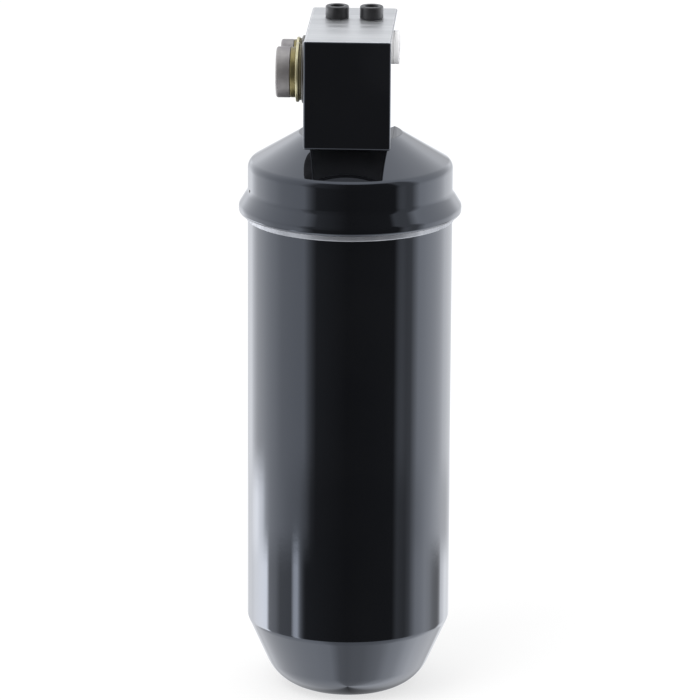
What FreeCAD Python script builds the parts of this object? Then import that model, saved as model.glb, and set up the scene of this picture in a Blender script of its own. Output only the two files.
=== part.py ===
# Receiver drier: a drawn steel can under a pressed lid, with a drilled aluminium head block on top.
# Millimetres. +Z is up, the origin is the centre of the flat spot that the can stands on,
# and the two capped line ports point along -X.

import FreeCAD, Part
import math
import os

import Sketcher

# Driving sizes, in millimetres and degrees.
SIZES = {
    # drawn can
    "can_radius": 38.0,
    "can_wall": 1.8,
    "taper_height": 27.0,
    "taper_angle": 24.0,
    "floor_bend": 17.0,
    "straight_height": 154.2,
    # pressed lid
    "lid_wall": 1.8,
    "lid_fit": 0.05,
    "rim_step": 0.6,
    "hem_width": 0.8,
    "hem_height": 2.2,
    "hem_round": 0.5,
    "rim_overlap": 5.0,
    "lip_height": 10.5,
    "lip_reach": 3.3,
    "lip_crest_low": 2.35,
    "lip_crest_band": 2.75,
    "lip_crest_round": 2.5,
    "lip_edge_round": 1.2,
    "lip_neck_round": 4.0,
    "lid_wall_height": 10.5,
    "shoulder_round": 3.5,
    "crown_angle": 31.0,
    "deck_radius": 19.0,
    "spigot_radius": 16.5,
    # head block
    "block_width": 31.8,
    "block_depth": 64.0,
    "block_height": 40.2,
    "block_edge": 0.9,
    "spigot_drop": 4.0,
    "port_drop": 15.1,
    # line ports: place along the block, boss, drilling
    "inlet_back": 14.1,
    "inlet_boss_radius": 11.5,
    "inlet_boss_height": 1.25,
    "inlet_drill_radius": 5.0,
    "inlet_drill_length": 16.0,
    "inlet_fall_radius": 4.0,
    "inlet_fall_across": 4.0,
    "inlet_fall_back": 10.5,
    "outlet_back": 8.3,
    "outlet_boss_radius": 9.0,
    "outlet_boss_height": 2.5,
    "outlet_drill_radius": 3.5,
    "outlet_drill_length": 18.0,
    "boss_chamfer": 0.8,
    # inlet fitting
    "inlet_gasket_radius": 10.2,
    "inlet_gasket_thick": 1.0,
    "inlet_washer_radius": 10.9,
    "inlet_washer_thick": 1.1,
    "inlet_neck_radius": 9.25,
    "inlet_neck_length": 2.0,
    "inlet_shank_radius": 6.5,
    "inlet_shank_depth": 6.5,
    "inlet_bore_radius": 4.2,
    "inlet_cap_radius": 9.3,
    "inlet_cap_length": 5.2,
    "inlet_cap_wall": 1.4,
    # outlet fitting
    "outlet_gasket_radius": 7.9,
    "outlet_gasket_thick": 0.8,
    "outlet_washer_radius": 8.4,
    "outlet_washer_thick": 1.1,
    "outlet_neck_radius": 7.45,
    "outlet_neck_length": 1.0,
    "outlet_shank_radius": 5.0,
    "outlet_shank_depth": 6.5,
    "outlet_bore_radius": 3.0,
    "outlet_cap_radius": 7.5,
    "outlet_cap_length": 4.7,
    "outlet_cap_wall": 1.3,
    # both fittings
    "thread_fit": 0.08,
    "cap_end": 1.3,
    "cap_round": 0.7,
    "cap_gap": 0.1,
    "liner_thick": 0.8,
    "shank_fit": 0.05,
    "stub_chamfer": 0.5,
    # fastening holes in the top face and their push-in plugs
    "hole_radius": 3.0,
    "hole_depth": 7.5,
    "hole_spacing": 12.7,
    "hole_shift": 0.6,
    "hole_back": 12.8,
    "plug_radius": 4.35,
    "plug_height": 4.6,
    "plug_stem": 6.5,
    "plug_fit": 0.08,
    "plug_recess_radius": 2.6,
    "plug_recess_depth": 3.4,
    "plug_round": 0.5,
    # fusible plug in the right face
    "fuse_drop": 8.2,
    "fuse_head_radius": 6.2,
    "fuse_head_height": 1.5,
    "fuse_head_round": 0.4,
    "fuse_washer_thick": 0.5,
    "fuse_shank_radius": 4.5,
    "fuse_shank_depth": 7.0,
    "fuse_bore_radius": 1.6,
    "fuse_drill_radius": 3.2,
    "fuse_drill_length": 13.0,
    # pickup tube, its seal and strainer
    "tube_back": 4.0,
    "tube_radius": 4.76,
    "tube_wall": 0.9,
    "tube_low": 12.0,
    "tube_grip": 12.0,
    "tube_fit": 0.05,
    "tube_bead_radius": 6.6,
    "tube_bead_height": 1.5,
    "seal_wire": 0.9,
    "riser_radius": 4.0,
    "riser_top": 8.0,
    "cage_radius": 8.5,
    "cage_wall": 1.0,
    "cage_low": 4.0,
    "cage_high": 24.0,
    "cage_window_width": 5.0,
    "cage_window_margin": 3.0,
    "screen_thick": 0.35,
    # drying pack
    "pack_fit": 0.2,
    "plate_thick": 1.5,
    "pad_thick": 6.0,
    "bed_height": 112.0,
    "perforation_radius": 2.2,
    "outer_ring_inset": 8.0,
    "spring_inset": 11.0,
    "spring_wire": 1.25,
    "closed_coil_gap": 0.2,
    "seat_gap": 0.1,
}

CAGE_WINDOWS = 6
INNER_PERFORATIONS = 8
OUTER_PERFORATIONS = 14
OPEN_HALF_TURNS = 8
CLOSED_HALF_TURNS = 2
HALF_TURN = 180.0
FULL_TURN = 360.0
SAME_PLACE = 1e-4

V = FreeCAD.Vector
UP = FreeCAD.Rotation()
TO_LEFT = FreeCAD.Rotation(V(0, 1, 0), -90)
TO_RIGHT = FreeCAD.Rotation(V(0, 1, 0), 90)


class Size:
    """A number together with the sheet expression that it comes from."""

    def __init__(self, value, text):
        self.value = value
        self.text = text

    @staticmethod
    def of(other):
        return other if isinstance(other, Size) else Size(float(other), repr(float(other)))

    def joined(self, sign, other, value):
        return Size(value, f"({self.text} {sign} {other.text})")

    def __add__(self, other):
        other = Size.of(other)
        return self.joined("+", other, self.value + other.value)

    def __sub__(self, other):
        other = Size.of(other)
        return self.joined("-", other, self.value - other.value)

    def __mul__(self, other):
        other = Size.of(other)
        return self.joined("*", other, self.value * other.value)

    def __truediv__(self, other):
        other = Size.of(other)
        return self.joined("/", other, self.value / other.value)

    def __neg__(self):
        return Size(-self.value, f"(0 - {self.text})")


def tangent(angle):
    return Size(math.tan(math.radians(angle.value)), f"tan({angle.text} * 1 deg)")


def cosine(angle):
    return Size(math.cos(math.radians(angle.value)), f"cos({angle.text} * 1 deg)")


class Named:
    """The sheet's sizes as attributes, so that s.can_radius is the cell of that name."""


def make_sheet(doc):
    sheet = doc.addObject("Spreadsheet::Sheet", "Sizes")
    named = Named()
    for row, (name, number) in enumerate(SIZES.items(), start=1):
        sheet.set(f"A{row}", name)
        sheet.set(f"B{row}", repr(number))
        sheet.setAlias(f"B{row}", name)
        setattr(named, name, Size(number, f"Sizes.{name}"))
    doc.recompute()
    return named


def bind(item, prop, size):
    item.setExpression(prop, Size.of(size).text)


def new_body(doc, label, x=0.0, y=0.0, z=0.0, turn=UP):
    """An empty body with its own axis set at x, y, z."""
    body = doc.addObject("PartDesign::Body", label)
    body.Label = label
    body.Placement = FreeCAD.Placement(V(Size.of(x).value, Size.of(y).value, Size.of(z).value), turn)
    for axis, place in (("x", x), ("y", y), ("z", z)):
        bind(body, f"Placement.Base.{axis}", place)
    return body


def new_sketch(body, name, role, offset=0.0):
    """A sketch on one of the body's own planes, or offset along that plane's normal."""
    sketch = body.newObject("Sketcher::SketchObject", f"{body.Label}_{name}")
    plane = next(f for f in body.Origin.OriginFeatures if f.Role == role)
    sketch.AttachmentSupport = [(plane, "")]
    sketch.MapMode = "FlatFace"
    bind(sketch, "AttachmentOffset.Base.z", offset)
    return sketch


def pin_point(sketch, geometry, point, across, up):
    """Fixes a point of the sketch at two sizes from its origin."""
    for kind, axis, size in (("DistanceX", -2, across), ("DistanceY", -1, up)):
        size = Size.of(size)
        if size.text == "0.0":
            sketch.addConstraint(Sketcher.Constraint("PointOnObject", geometry, point, axis))
        else:
            rule = Sketcher.Constraint(kind, -1, 1, geometry, point, size.value)
            bind(sketch, f"Constraints[{sketch.addConstraint(rule)}]", size)


def add_outline(sketch, corners):
    """A closed run of lines through the corners, each an (across, up) pair of sizes."""
    points = [V(Size.of(across).value, Size.of(up).value, 0) for across, up in corners]
    count = len(points)
    lines = [
        sketch.addGeometry(Part.LineSegment(points[i], points[(i + 1) % count]), False)
        for i in range(count)
    ]
    for i, line in enumerate(lines):
        sketch.addConstraint(Sketcher.Constraint("Coincident", line, 2, lines[(i + 1) % count], 1))
    for line, (across, up) in zip(lines, corners):
        pin_point(sketch, line, 1, across, up)


def add_circle(sketch, radius, across=0.0, up=0.0):
    centre = V(Size.of(across).value, Size.of(up).value, 0)
    circle = sketch.addGeometry(Part.Circle(centre, V(0, 0, 1), radius.value), False)
    pin_point(sketch, circle, 3, across, up)
    rule = Sketcher.Constraint("Radius", circle, radius.value)
    bind(sketch, f"Constraints[{sketch.addConstraint(rule)}]", radius)


def spun(doc, body, corners):
    """Turns an outline of (radius, height) corners about the body's own axis."""
    sketch = new_sketch(body, "profile", "XZ_Plane")
    add_outline(sketch, corners)
    turned = body.newObject("PartDesign::Revolution", f"{body.Label}_turned")
    turned.Profile = sketch
    turned.ReferenceAxis = (sketch, ["V_Axis"])
    turned.Angle = FULL_TURN
    doc.recompute()
    return turned


def pad(doc, sketch, length, backwards=False):
    body = sketch.getParentGeoFeatureGroup()
    feature = body.newObject("PartDesign::Pad", f"{sketch.Name}_pad")
    feature.Profile = sketch
    bind(feature, "Length", length)
    feature.Reversed = backwards
    doc.recompute()
    return feature


def pocket(doc, sketch, length, backwards=False):
    """Cuts the sketch into its body, and makes sure that material went."""
    body = sketch.getParentGeoFeatureGroup()
    before = body.Tip.Shape.Volume
    feature = body.newObject("PartDesign::Pocket", f"{sketch.Name}_pocket")
    feature.Profile = sketch
    bind(feature, "Length", length)
    feature.Reversed = backwards
    doc.recompute()
    if feature.Shape.Volume >= before:
        raise RuntimeError(f"{feature.Name} cuts nothing")
    return feature


def drill(doc, body, name, role, offset, radius, length, across=0.0, up=0.0, backwards=False):
    sketch = new_sketch(body, name, role, offset)
    add_circle(sketch, radius, across, up)
    return pocket(doc, sketch, length, backwards)


def ringed(body, *rings):
    """The names of the tip's circular edges with these radii and centres."""
    found = []
    for number, edge in enumerate(body.Tip.Shape.Edges, start=1):
        if not isinstance(edge.Curve, Part.Circle):
            continue
        for radius, centre in rings:
            wanted = V(*(Size.of(place).value for place in centre))
            near = (edge.Curve.Center - wanted).Length < SAME_PLACE
            if near and abs(edge.Curve.Radius - radius.value) < SAME_PLACE:
                found.append(f"Edge{number}")
    if len(found) < len(rings):
        raise RuntimeError(f"{body.Label} lacks an edge that is to be rounded")
    return found


def dress(doc, body, kind, size, edges):
    """A fillet or a chamfer on the body's tip."""
    base = body.Tip
    feature = body.newObject(f"PartDesign::{kind}", f"{body.Label}_{kind}")
    feature.Base = (base, edges)
    bind(feature, "Radius" if kind == "Fillet" else "Size", size)
    doc.recompute()
    return feature


class Levels:
    """Heights and radii that several pieces share."""

    def __init__(self, s):
        self.knuckle = s.taper_height
        self.lip = self.knuckle + s.straight_height
        self.ledge = self.lip + s.rim_overlap
        self.neck = self.lip + s.lip_height
        self.shoulder = self.neck + s.lid_wall_height
        self.deck = self.shoulder + (s.can_radius - s.deck_radius) * tangent(s.crown_angle)
        self.block_top = self.deck + s.block_height
        self.side = s.block_width / 2
        self.front = s.block_depth / 2
        self.port = self.block_top - s.port_drop
        self.spigot_end = self.deck - s.lid_wall - s.spigot_drop
        self.rim_radius = s.can_radius - s.rim_step
        self.can_bore = s.can_radius - s.can_wall
        self.pack_radius = self.can_bore - s.pack_fit
        self.lower_plate = self.knuckle + s.can_wall * tangent(s.taper_angle / 2)
        self.lower_pad = self.lower_plate + s.plate_thick
        self.bed = self.lower_pad + s.pad_thick
        self.upper_pad = self.bed + s.bed_height
        self.upper_plate = self.upper_pad + s.pad_thick
        self.spring = self.upper_plate + s.plate_thick
        self.pack_hole = s.tube_radius + s.pack_fit


def crown_underside(s, at, radius):
    """The height of the lid's inner cone at a radius."""
    rise = (s.can_radius - radius) * tangent(s.crown_angle)
    return at.shoulder + rise - s.lid_wall / cosine(s.crown_angle)


def make_canister_shell(doc, s, at):
    """Deep-drawn can: flat spot, rounded bend, tapered end, straight wall, stepped-in rim."""
    body = new_body(doc, "canister_shell")
    foot = s.can_radius - s.taper_height * tangent(s.taper_angle)
    inner_knuckle = s.taper_height + s.can_wall * tangent(s.taper_angle / 2)
    inner_foot = at.can_bore - (inner_knuckle - s.can_wall) * tangent(s.taper_angle)
    spun(doc, body, [
        (0.0, 0.0),
        (foot, 0.0),
        (s.can_radius, at.knuckle),
        (s.can_radius, at.lip),
        (at.rim_radius, at.lip),
        (at.rim_radius, at.ledge),
        (at.can_bore, at.ledge),
        (at.can_bore, inner_knuckle),
        (inner_foot, s.can_wall),
        (0.0, s.can_wall),
    ])
    dress(doc, body, "Fillet", s.floor_bend, ringed(body, (foot, (0, 0, 0))))
    inner_edge = ringed(body, (inner_foot, (0, 0, s.can_wall)))
    dress(doc, body, "Fillet", s.floor_bend - s.can_wall, inner_edge)


def make_lid(doc, s, at):
    """Pressed lid: a hem on the can's rim, a flared lip with an upright band, a wall, a shoulder, a cone."""
    body = new_body(doc, "lid")
    bore = s.can_radius - s.lid_wall
    socket = at.rim_radius + s.lid_fit
    hem = s.can_radius + s.hem_width
    crest = s.can_radius + s.lip_reach
    crest_low = at.lip + s.lip_crest_low
    crest_high = crest_low + s.lip_crest_band
    hole = s.spigot_radius + s.lid_fit
    flat_end = s.lid_wall / cosine(s.crown_angle) - s.lid_wall
    inner_deck = s.deck_radius - flat_end / tangent(s.crown_angle)
    spun(doc, body, [
        (socket, at.lip),
        (hem, at.lip),
        (hem, at.lip + s.hem_height),
        (crest, crest_low),
        (crest, crest_high),
        (s.can_radius, at.neck),
        (s.can_radius, at.shoulder),
        (s.deck_radius, at.deck),
        (hole, at.deck),
        (hole, at.deck - s.lid_wall),
        (inner_deck, at.deck - s.lid_wall),
        (bore, crown_underside(s, at, bore)),
        (bore, at.ledge),
        (socket, at.ledge),
    ])
    dress(doc, body, "Fillet", s.lip_crest_round, ringed(body, (crest, (0, 0, crest_high))))
    dress(doc, body, "Fillet", s.lip_edge_round, ringed(body, (crest, (0, 0, crest_low))))
    dress(doc, body, "Fillet", s.lip_neck_round, ringed(body, (s.can_radius, (0, 0, at.neck))))
    dress(doc, body, "Fillet", s.shoulder_round, ringed(body, (s.can_radius, (0, 0, at.shoulder))))
    dress(doc, body, "Fillet", s.hem_round, ringed(body, (hem, (0, 0, at.lip))))


def upright_edges(body, low, high):
    """The tip's straight edges that run from one height to the other."""
    names = []
    for number, edge in enumerate(body.Tip.Shape.Edges, start=1):
        box = edge.BoundBox
        spans = abs(box.ZMin - low.value) < SAME_PLACE and abs(box.ZMax - high.value) < SAME_PLACE
        if spans and box.XLength < SAME_PLACE and box.YLength < SAME_PLACE:
            names.append(f"Edge{number}")
    return names


def make_head_block(doc, s, at):
    """Milled block: spigot, two line-port bosses, crossing passages, two blind holes on top."""
    body = new_body(doc, "head_block")
    outline = new_sketch(body, "outline", "XY_Plane", at.deck)
    add_outline(outline, [
        (-at.side, -at.front),
        (at.side, -at.front),
        (at.side, at.front),
        (-at.side, at.front),
    ])
    pad(doc, outline, s.block_height)
    dress(doc, body, "Chamfer", s.block_edge, upright_edges(body, at.deck, at.block_top))

    spigot = new_sketch(body, "spigot", "XY_Plane", at.deck)
    add_circle(spigot, s.spigot_radius)
    pad(doc, spigot, s.lid_wall + s.spigot_drop, backwards=True)

    ports = [
        ("inlet", -s.inlet_back, s.inlet_boss_radius, s.inlet_boss_height,
         s.inlet_shank_radius, s.inlet_shank_depth, s.inlet_drill_radius, s.inlet_drill_length),
        ("outlet", s.outlet_back, s.outlet_boss_radius, s.outlet_boss_height,
         s.outlet_shank_radius, s.outlet_shank_depth, s.outlet_drill_radius, s.outlet_drill_length),
    ]
    for name, back, boss_radius, boss_height, shank, depth, bore, reach in ports:
        boss = new_sketch(body, f"{name}_boss", "YZ_Plane", -at.side)
        add_circle(boss, boss_radius, back, at.port)
        pad(doc, boss, boss_height, backwards=True)
        face = -(at.side + boss_height)
        rim = ringed(body, (boss_radius, (face, back, at.port)))
        dress(doc, body, "Chamfer", s.boss_chamfer, rim)
        drill(doc, body, f"{name}_thread", "YZ_Plane", face, shank + s.shank_fit,
              boss_height + depth, back, at.port, backwards=True)
        drill(doc, body, f"{name}_drill", "YZ_Plane", -at.side, bore,
              reach, back, at.port, backwards=True)

    fall = at.port - at.spigot_end
    drill(doc, body, "inlet_fall", "XY_Plane", at.spigot_end, s.inlet_fall_radius, fall,
          -s.inlet_fall_across, -s.inlet_fall_back, backwards=True)
    riser = at.block_top - s.riser_top - at.spigot_end
    drill(doc, body, "riser", "XY_Plane", at.spigot_end, s.riser_radius, riser,
          0.0, s.tube_back, backwards=True)
    drill(doc, body, "tube_socket", "XY_Plane", at.spigot_end, s.tube_radius + s.tube_fit,
          s.tube_grip, 0.0, s.tube_back, backwards=True)
    seal_outer = s.tube_radius + s.seal_wire * 2 + s.tube_fit * 2
    drill(doc, body, "seal_groove", "XY_Plane", at.spigot_end, seal_outer,
          s.seal_wire * 2 + s.tube_fit, 0.0, s.tube_back, backwards=True)

    fuse_height = at.block_top - s.fuse_drop
    drill(doc, body, "fuse_thread", "YZ_Plane", at.side, s.fuse_shank_radius + s.shank_fit,
          s.fuse_shank_depth, 0.0, fuse_height)
    drill(doc, body, "fuse_drill", "YZ_Plane", at.side, s.fuse_drill_radius,
          s.fuse_drill_length, 0.0, fuse_height)

    for name, across in hole_places(s):
        drill(doc, body, f"{name}_hole", "XY_Plane", at.block_top, s.hole_radius,
              s.hole_depth, across, s.hole_back)


def hole_places(s):
    return [
        ("left", s.hole_shift - s.hole_spacing / 2),
        ("right", s.hole_shift + s.hole_spacing / 2),
    ]


def make_hole_plugs(doc, s, at):
    """Two push-in plastic plugs with hollow heads."""
    for name, across in hole_places(s):
        body = new_body(doc, f"{name}_hole_plug", across, s.hole_back, at.block_top - s.plug_stem)
        stem = s.hole_radius - s.plug_fit
        top = s.plug_stem + s.plug_height
        spun(doc, body, [
            (0.0, 0.0),
            (stem, 0.0),
            (stem, s.plug_stem),
            (s.plug_radius, s.plug_stem),
            (s.plug_radius, top),
            (s.plug_recess_radius, top),
            (s.plug_recess_radius, top - s.plug_recess_depth),
            (0.0, top - s.plug_recess_depth),
        ])
        dress(doc, body, "Fillet", s.plug_round, ringed(body, (s.plug_radius, (0, 0, top))))


def make_ring(doc, label, inner, outer, thick, x, y, z, turn=UP):
    """A flat ring that stands on its own origin."""
    body = new_body(doc, label, x, y, z, turn)
    spun(doc, body, [(inner, 0.0), (outer, 0.0), (outer, thick), (inner, thick)])
    return body


def make_fitting(doc, s, at, name, back, boss, gasket, washer, neck, shank, bore, cap):
    """Gasket, washer, adapter, screw cap and cap liner, stacked outwards on one boss."""
    gasket_radius, gasket_thick = gasket
    washer_radius, washer_thick = washer
    neck_radius, neck_length = neck
    shank_radius, shank_depth = shank
    cap_radius, cap_length, cap_wall = cap
    face = at.side + boss
    hole = shank_radius + s.shank_fit
    make_ring(doc, f"{name}_gasket", hole, gasket_radius, gasket_thick,
              -face, back, at.port, TO_LEFT)
    make_ring(doc, f"{name}_washer", hole, washer_radius, washer_thick,
              -(face + gasket_thick), back, at.port, TO_LEFT)

    inside = boss + shank_depth
    neck_foot = inside + gasket_thick + washer_thick
    neck_end = neck_foot + neck_length
    stub_radius = cap_radius - cap_wall - s.thread_fit
    stub_length = s.cap_gap + cap_length - s.cap_end - s.liner_thick - s.cap_gap
    stub_end = neck_end + stub_length
    adapter = new_body(doc, f"{name}_adapter", -(face - inside), back, at.port, TO_LEFT)
    spun(doc, adapter, [
        (bore, 0.0),
        (shank_radius, 0.0),
        (shank_radius, neck_foot),
        (neck_radius, neck_foot),
        (neck_radius, neck_end),
        (stub_radius, neck_end),
        (stub_radius, stub_end),
        (bore, stub_end),
    ])
    dress(doc, adapter, "Chamfer", s.stub_chamfer, ringed(adapter, (stub_radius, (0, 0, stub_end))))

    cap_foot = face + gasket_thick + washer_thick + neck_length + s.cap_gap
    cap_body = new_body(doc, f"{name}_cap", -cap_foot, back, at.port, TO_LEFT)
    cap_bore = cap_radius - cap_wall
    spun(doc, cap_body, [
        (cap_bore, 0.0),
        (cap_radius, 0.0),
        (cap_radius, cap_length),
        (0.0, cap_length),
        (0.0, cap_length - s.cap_end),
        (cap_bore, cap_length - s.cap_end),
    ])
    dress(doc, cap_body, "Fillet", s.cap_round, ringed(cap_body, (cap_radius, (0, 0, cap_length))))

    liner = new_body(doc, f"{name}_cap_liner",
                     -(cap_foot + cap_length - s.cap_end - s.liner_thick), back, at.port, TO_LEFT)
    disc = new_sketch(liner, "disc", "XY_Plane")
    add_circle(disc, stub_radius)
    pad(doc, disc, s.liner_thick)


def make_fittings(doc, s, at):
    make_fitting(
        doc, s, at, "inlet", -s.inlet_back, s.inlet_boss_height,
        (s.inlet_gasket_radius, s.inlet_gasket_thick),
        (s.inlet_washer_radius, s.inlet_washer_thick),
        (s.inlet_neck_radius, s.inlet_neck_length),
        (s.inlet_shank_radius, s.inlet_shank_depth),
        s.inlet_bore_radius,
        (s.inlet_cap_radius, s.inlet_cap_length, s.inlet_cap_wall),
    )
    make_fitting(
        doc, s, at, "outlet", s.outlet_back, s.outlet_boss_height,
        (s.outlet_gasket_radius, s.outlet_gasket_thick),
        (s.outlet_washer_radius, s.outlet_washer_thick),
        (s.outlet_neck_radius, s.outlet_neck_length),
        (s.outlet_shank_radius, s.outlet_shank_depth),
        s.outlet_bore_radius,
        (s.outlet_cap_radius, s.outlet_cap_length, s.outlet_cap_wall),
    )


def make_fusible_plug(doc, s, at):
    """Screwed plug whose core melts and lets the charge out in a fire."""
    height = at.block_top - s.fuse_drop
    make_ring(doc, "fusible_washer", s.fuse_shank_radius + s.shank_fit, s.fuse_head_radius,
              s.fuse_washer_thick, at.side, 0.0, height, TO_RIGHT)
    body = new_body(doc, "fusible_plug", at.side - s.fuse_shank_depth, 0.0, height, TO_RIGHT)
    head_foot = s.fuse_shank_depth + s.fuse_washer_thick
    head_end = head_foot + s.fuse_head_height
    spun(doc, body, [
        (s.fuse_bore_radius, 0.0),
        (s.fuse_shank_radius, 0.0),
        (s.fuse_shank_radius, head_foot),
        (s.fuse_head_radius, head_foot),
        (s.fuse_head_radius, head_end),
        (s.fuse_bore_radius, head_end),
    ])
    rim = ringed(body, (s.fuse_head_radius, (0, 0, head_end)))
    dress(doc, body, "Fillet", s.fuse_head_round, rim)
    core = new_body(doc, "fusible_core", at.side - s.fuse_shank_depth, 0.0, height, TO_RIGHT)
    disc = new_sketch(core, "disc", "XY_Plane")
    add_circle(disc, s.fuse_bore_radius)
    pad(doc, disc, head_end)


def make_pickup(doc, s, at):
    """Tube that draws liquid from the bottom, its ring seal, and the strainer on its lower end."""
    tube = new_body(doc, "pickup_tube", 0.0, s.tube_back, 0.0)
    inner = s.tube_radius - s.tube_wall
    bead = at.spigot_end - s.seat_gap - s.tube_bead_height
    spun(doc, tube, [
        (inner, s.tube_low),
        (s.tube_radius, s.tube_low),
        (s.tube_radius, bead),
        (s.tube_bead_radius, bead),
        (s.tube_bead_radius, bead + s.tube_bead_height),
        (s.tube_radius, bead + s.tube_bead_height),
        (s.tube_radius, at.spigot_end + s.tube_grip - s.seat_gap),
        (inner, at.spigot_end + s.tube_grip - s.seat_gap),
    ])

    seal = doc.addObject("Part::Torus", "tube_seal")
    seal.Label = "tube_seal"
    bind(seal, "Radius1", s.tube_radius + s.tube_fit + s.seal_wire)
    bind(seal, "Radius2", s.seal_wire)
    bind(seal, "Placement.Base.y", s.tube_back)
    bind(seal, "Placement.Base.z", at.spigot_end + s.seal_wire)

    cage = new_body(doc, "strainer_cage", 0.0, s.tube_back, 0.0)
    cage_bore = s.cage_radius - s.cage_wall
    spun(doc, cage, [
        (0.0, s.cage_low),
        (s.cage_radius, s.cage_low),
        (s.cage_radius, s.cage_high),
        (s.tube_radius + s.tube_fit, s.cage_high),
        (s.tube_radius + s.tube_fit, s.cage_high - s.cage_wall),
        (cage_bore, s.cage_high - s.cage_wall),
        (cage_bore, s.cage_low + s.cage_wall),
        (0.0, s.cage_low + s.cage_wall),
    ])
    window = new_sketch(cage, "window", "XZ_Plane")
    low = s.cage_low + s.cage_window_margin
    high = s.cage_high - s.cage_window_margin
    half = s.cage_window_width / 2
    add_outline(window, [(-half, low), (half, low), (half, high), (-half, high)])
    cut = pocket(doc, window, s.cage_radius * 2)
    repeat(doc, cage, cut, CAGE_WINDOWS)

    screen = new_body(doc, "strainer_screen", 0.0, s.tube_back, s.cage_low + s.cage_wall)
    screen_outer = cage_bore - s.tube_fit
    screen_height = s.cage_high - s.cage_low - s.cage_wall * 2
    spun(doc, screen, [
        (screen_outer - s.screen_thick, 0.0),
        (screen_outer, 0.0),
        (screen_outer, screen_height),
        (screen_outer - s.screen_thick, screen_height),
    ])


def repeat(doc, body, feature, count):
    """Repeats a cut evenly about the body's own axis."""
    pattern = body.newObject("PartDesign::PolarPattern", f"{feature.Name}_ring")
    pattern.Originals = [feature]
    pattern.Axis = (next(f for f in body.Origin.OriginFeatures if f.Role == "Z_Axis"), [""])
    pattern.Angle = FULL_TURN
    pattern.Occurrences = count
    body.Tip = pattern
    doc.recompute()
    return pattern


def make_pack_disc(doc, s, at, label, level, thick):
    """A round layer of the pack with a hole where the pickup tube passes."""
    body = new_body(doc, label, 0.0, 0.0, level)
    outline = new_sketch(body, "outline", "XY_Plane")
    add_circle(outline, at.pack_radius)
    add_circle(outline, at.pack_hole, 0.0, s.tube_back)
    pad(doc, outline, thick)
    return body


def make_drying_pack(doc, s, at):
    """Felt pads and drying grains between two perforated plates, held down by a spring."""
    for label, level in (("lower_plate", at.lower_plate), ("upper_plate", at.upper_plate)):
        plate = make_pack_disc(doc, s, at, label, level, s.plate_thick)
        outer = at.pack_radius - s.outer_ring_inset
        inner = (outer + s.tube_back + at.pack_hole) / 2
        rings = (("inner", inner, INNER_PERFORATIONS), ("outer", outer, OUTER_PERFORATIONS))
        for name, radius, count in rings:
            hole = new_sketch(plate, f"{name}_hole", "XY_Plane")
            add_circle(hole, s.perforation_radius, radius)
            repeat(doc, plate, pocket(doc, hole, s.plate_thick, backwards=True), count)
    make_pack_disc(doc, s, at, "lower_pad", at.lower_pad, s.pad_thick)
    make_pack_disc(doc, s, at, "desiccant_bed", at.bed, s.bed_height)
    make_pack_disc(doc, s, at, "upper_pad", at.upper_pad, s.pad_thick)


def make_pack_spring(doc, s, at):
    """Coil spring with closed ends, between the upper plate and the underside of the lid's cone.

    Each half turn is a half ring tilted by its rise, so neighbours meet with one direction."""
    start = at.spring + s.spring_wire + s.seat_gap
    coil = at.can_bore - s.spring_inset
    headroom = (s.spring_wire + s.seat_gap) / cosine(s.crown_angle)
    length = crown_underside(s, at, coil) - headroom - start
    closed = s.spring_wire + s.closed_coil_gap / 2
    opened = (length - closed * (2 * CLOSED_HALF_TURNS)) / OPEN_HALF_TURNS
    ends = [closed] * CLOSED_HALF_TURNS
    body = new_body(doc, "pack_spring", 0.0, 0.0, start)
    low = Size.of(0.0)
    for number, rise in enumerate(ends + [opened] * OPEN_HALF_TURNS + ends):
        across, lean = (coil, rise) if number % 2 == 0 else (-coil, -rise)
        sketch = new_sketch(body, f"half_{number}", "XZ_Plane")
        add_circle(sketch, s.spring_wire, across, low)
        middle = low + rise / 2
        axis = sketch.addGeometry(
            Part.LineSegment(V(0, middle.value, 0), V(lean.value / 2, middle.value + coil.value, 0)),
            True,
        )
        pin_point(sketch, axis, 1, 0.0, middle)
        pin_point(sketch, axis, 2, lean / 2, middle + coil)
        half = body.newObject("PartDesign::Revolution", f"half_turn_{number}")
        half.Profile = sketch
        half.ReferenceAxis = (sketch, ["Axis0"])
        half.Angle = HALF_TURN
        doc.recompute()
        low = low + rise


def subparts(doc):
    return [
        item for item in doc.Objects
        if item.TypeId in ("PartDesign::Body", "Part::Torus")
    ]


def check(doc):
    """Stops if any object failed or any sub-part has no valid solid."""
    for item in doc.Objects:
        if "Invalid" in item.State or "Error" in item.State:
            raise RuntimeError(f"{item.Label} failed: {item.State}")
    for item in subparts(doc):
        if item.Shape.isNull() or not item.Shape.isValid() or not item.Shape.Solids:
            raise RuntimeError(f"{item.Label} has no valid solid")


def main():
    doc = FreeCAD.newDocument("receiver_drier")
    s = make_sheet(doc)
    at = Levels(s)
    make_canister_shell(doc, s, at)
    make_lid(doc, s, at)
    make_head_block(doc, s, at)
    make_hole_plugs(doc, s, at)
    make_fittings(doc, s, at)
    make_fusible_plug(doc, s, at)
    make_pickup(doc, s, at)
    make_drying_pack(doc, s, at)
    make_pack_spring(doc, s, at)
    doc.recompute()
    check(doc)
    os.makedirs("parts", exist_ok=True)
    for item in subparts(doc):
        item.Shape.exportStep(f"parts/{item.Label}.step")
        print(item.Label, len(item.Shape.Solids), round(item.Shape.Volume, 1))


main()
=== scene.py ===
import math

import bmesh
import bpy
from mathutils import Matrix, Vector


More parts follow.
